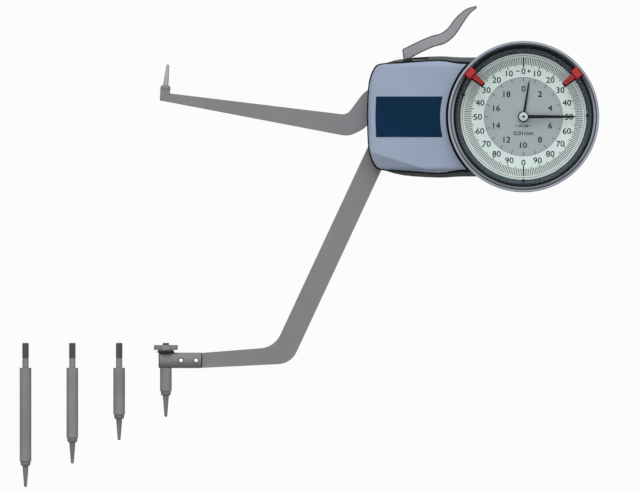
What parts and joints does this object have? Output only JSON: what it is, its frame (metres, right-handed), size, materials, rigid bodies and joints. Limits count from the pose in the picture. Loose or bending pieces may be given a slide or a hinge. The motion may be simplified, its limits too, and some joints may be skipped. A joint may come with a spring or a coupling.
{
  "type": "inside dial caliper",
  "caption": "Inside dial caliper: round dial on a flat body, sprung upper arm worked by a thumb lever, angled fixed lower arm with a screw-in anvil, and loose longer anvils beside it.",
  "frame": {"origin": "where the dial axis meets the flat back face", "axes": "+Z out of the dial face, +X from the arms towards the dial, +Y up the dial towards its zero"},
  "size_m": [0.2472, 0.2055, 0.0293],
  "materials": {
    "dark_painted_casting": "dark grey paint on a casting",
    "blue_grey_paint": "smooth light blue-grey metallic paint",
    "black_rubber": "matt",
    "navy_label": "printed navy film",
    "screw_steel": "bright",
    "spring_steel": "drawn wire",
    "shaft_steel": "ground",
    "brass": "turned",
    "satin_arm_steel": "satin grey",
    "ground_anvil_steel": "ground grey",
    "contact_carbide": "lapped",
    "blackened_nut": "blackened",
    "light_grey_lever": "matt light grey",
    "bezel_aluminium": "blue-grey anodised",
    "black_plastic": "matt black",
    "crystal_glass": "clear",
    "mint_dial": "printed pale mint",
    "grey_dial": "printed satin grey",
    "black_hands": "black lacquer",
    "grey_cap": "moulded",
    "red_markers": "moulded red"
  },
  "bodies": {
    "body": {"rear_housing": "dark_painted_casting", "front_cover": "blue_grey_paint", "cover_gasket": "black_rubber", "label_plate": "navy_label", "housing_screws": "screw_steel", "dial_case": "dark_painted_casting", "case_screws": "screw_steel", "bezel_spring": "spring_steel", "inner_dial": "grey_dial", "base_plate": "brass", "top_plate": "brass", "movement_pillars": "brass", "bridge_screws": "screw_steel", "movement_bushes": "brass", "hairspring": "spring_steel", "hairspring_stud": "brass", "pivot_bush_rear": "brass", "pivot_bush_front": "brass", "fixed_arm": "satin_arm_steel", "fixed_arm_screws": "screw_steel", "anvil_holder": "satin_arm_steel", "lever_pin": "screw_steel", "spring_post": "shaft_steel", "stop_pin": "shaft_steel", "return_spring": "spring_steel"},
    "upper_arm": {"moving_arm": "satin_arm_steel", "upper_contact": "contact_carbide", "pivot_shaft": "shaft_steel", "sector_gear": "brass", "sector_screws": "screw_steel", "spring_pin": "shaft_steel"},
    "lever": {"thumb_lever": "light_grey_lever"},
    "train": {"train_arbor": "shaft_steel", "train_pinion": "brass", "train_wheel": "brass", "transfer_wheel": "brass", "hairspring_collet": "brass"},
    "main_hand": {"centre_arbor": "shaft_steel", "centre_pinion": "brass", "main_pointer": "black_hands", "pointer_cap": "grey_cap"},
    "small_hand": {"small_hand_wheel": "brass", "small_pointer": "black_hands"},
    "bezel": {"bezel_ring": "bezel_aluminium", "black_ring": "black_plastic", "crystal": "crystal_glass", "scale_ring": "mint_dial"},
    "left_marker": {"marker_left": "red_markers"},
    "right_marker": {"marker_right": "red_markers"},
    "nut_slide": {"nut_washer": "screw_steel"},
    "nut": {"thumb_nut": "blackened_nut"},
    "mounted_anvil": {"anvil": "ground_anvil_steel", "anvil_tip": "contact_carbide"},
    "spare_20": {"spare_anvil_20": "ground_anvil_steel", "spare_tip_20": "contact_carbide"},
    "spare_30": {"spare_anvil_30": "ground_anvil_steel", "spare_tip_30": "contact_carbide"},
    "spare_40": {"spare_anvil_40": "ground_anvil_steel", "spare_tip_40": "contact_carbide"}
  },
  "joints": [
    {"name": "arm_swing", "type": "hinge", "parent": "body", "child": "upper_arm", "pos_m": [-0.057, 0.01, 0.008], "axis": [0, 0, 1], "range_deg": [0, 12.4], "stiffness_Nm_per_rad": 0.33, "springref_deg": -17.19, "deforming": ["return_spring"]},
    {"name": "lever_press", "type": "hinge", "parent": "body", "child": "lever", "pos_m": [-0.0492, 0.0234, 0.008], "axis": [0, 0, 1], "range_deg": [-15, 0]},
    {"name": "train_turn", "type": "hinge", "parent": "body", "child": "train", "pos_m": [-0.0137, 0.00703, 0.012], "axis": [0, 0, 1], "range_deg": [-373, 0], "deforming": ["hairspring"]},
    {"name": "main_hand_turn", "type": "hinge", "parent": "body", "child": "main_hand", "pos_m": [0, 0, 0.012], "axis": [0, 0, 1], "range_deg": [0, 3721]},
    {"name": "small_hand_turn", "type": "hinge", "parent": "body", "child": "small_hand", "pos_m": [0, 0, 0.014], "axis": [0, 0, 1], "range_deg": [0, 373]},
    {"name": "bezel_turn", "type": "hinge", "parent": "body", "child": "bezel", "pos_m": [0, 0, 0.02], "axis": [0, 0, 1], "continuous": true},
    {"name": "left_marker_slide", "type": "hinge", "parent": "bezel", "child": "left_marker", "pos_m": [0, 0, 0.027], "axis": [0, 0, 1], "range_deg": [-45, 90]},
    {"name": "right_marker_slide", "type": "hinge", "parent": "bezel", "child": "right_marker", "pos_m": [0, 0, 0.027], "axis": [0, 0, 1], "range_deg": [-90, 45]},
    {"name": "nut_rise", "type": "slide", "parent": "body", "child": "nut_slide", "axis": [0, 1, 0], "range_m": [0, 0.0015]},
    {"name": "nut_turn", "type": "hinge", "parent": "nut_slide", "child": "nut", "pos_m": [-0.1525, -0.0994, 0.008], "axis": [0, 1, 0], "range_deg": [0, 1081]},
    {"name": "anvil_release", "type": "slide", "parent": "body", "child": "mounted_anvil", "axis": [0, -1, 0], "range_m": [0, 0.02]},
    {"name": "spare_20_lift", "type": "slide", "parent": "body", "child": "spare_20", "axis": [0, 0, 1], "range_m": [0, 0.04]},
    {"name": "spare_30_lift", "type": "slide", "parent": "body", "child": "spare_30", "axis": [0, 0, 1], "range_m": [0, 0.04]},
    {"name": "spare_40_lift", "type": "slide", "parent": "body", "child": "spare_40", "axis": [0, 0, 1], "range_m": [0, 0.04]}
  ],
  "couplings": [
    {"joint": "lever_press", "follows": "arm_swing", "ratio": -1.2},
    {"joint": "train_turn", "follows": "arm_swing", "ratio": -30},
    {"joint": "main_hand_turn", "follows": "arm_swing", "ratio": 300},
    {"joint": "small_hand_turn", "follows": "arm_swing", "ratio": 30},
    {"joint": "nut_turn", "follows": "nut_rise", "rad_per_m": 12566}
  ]
}
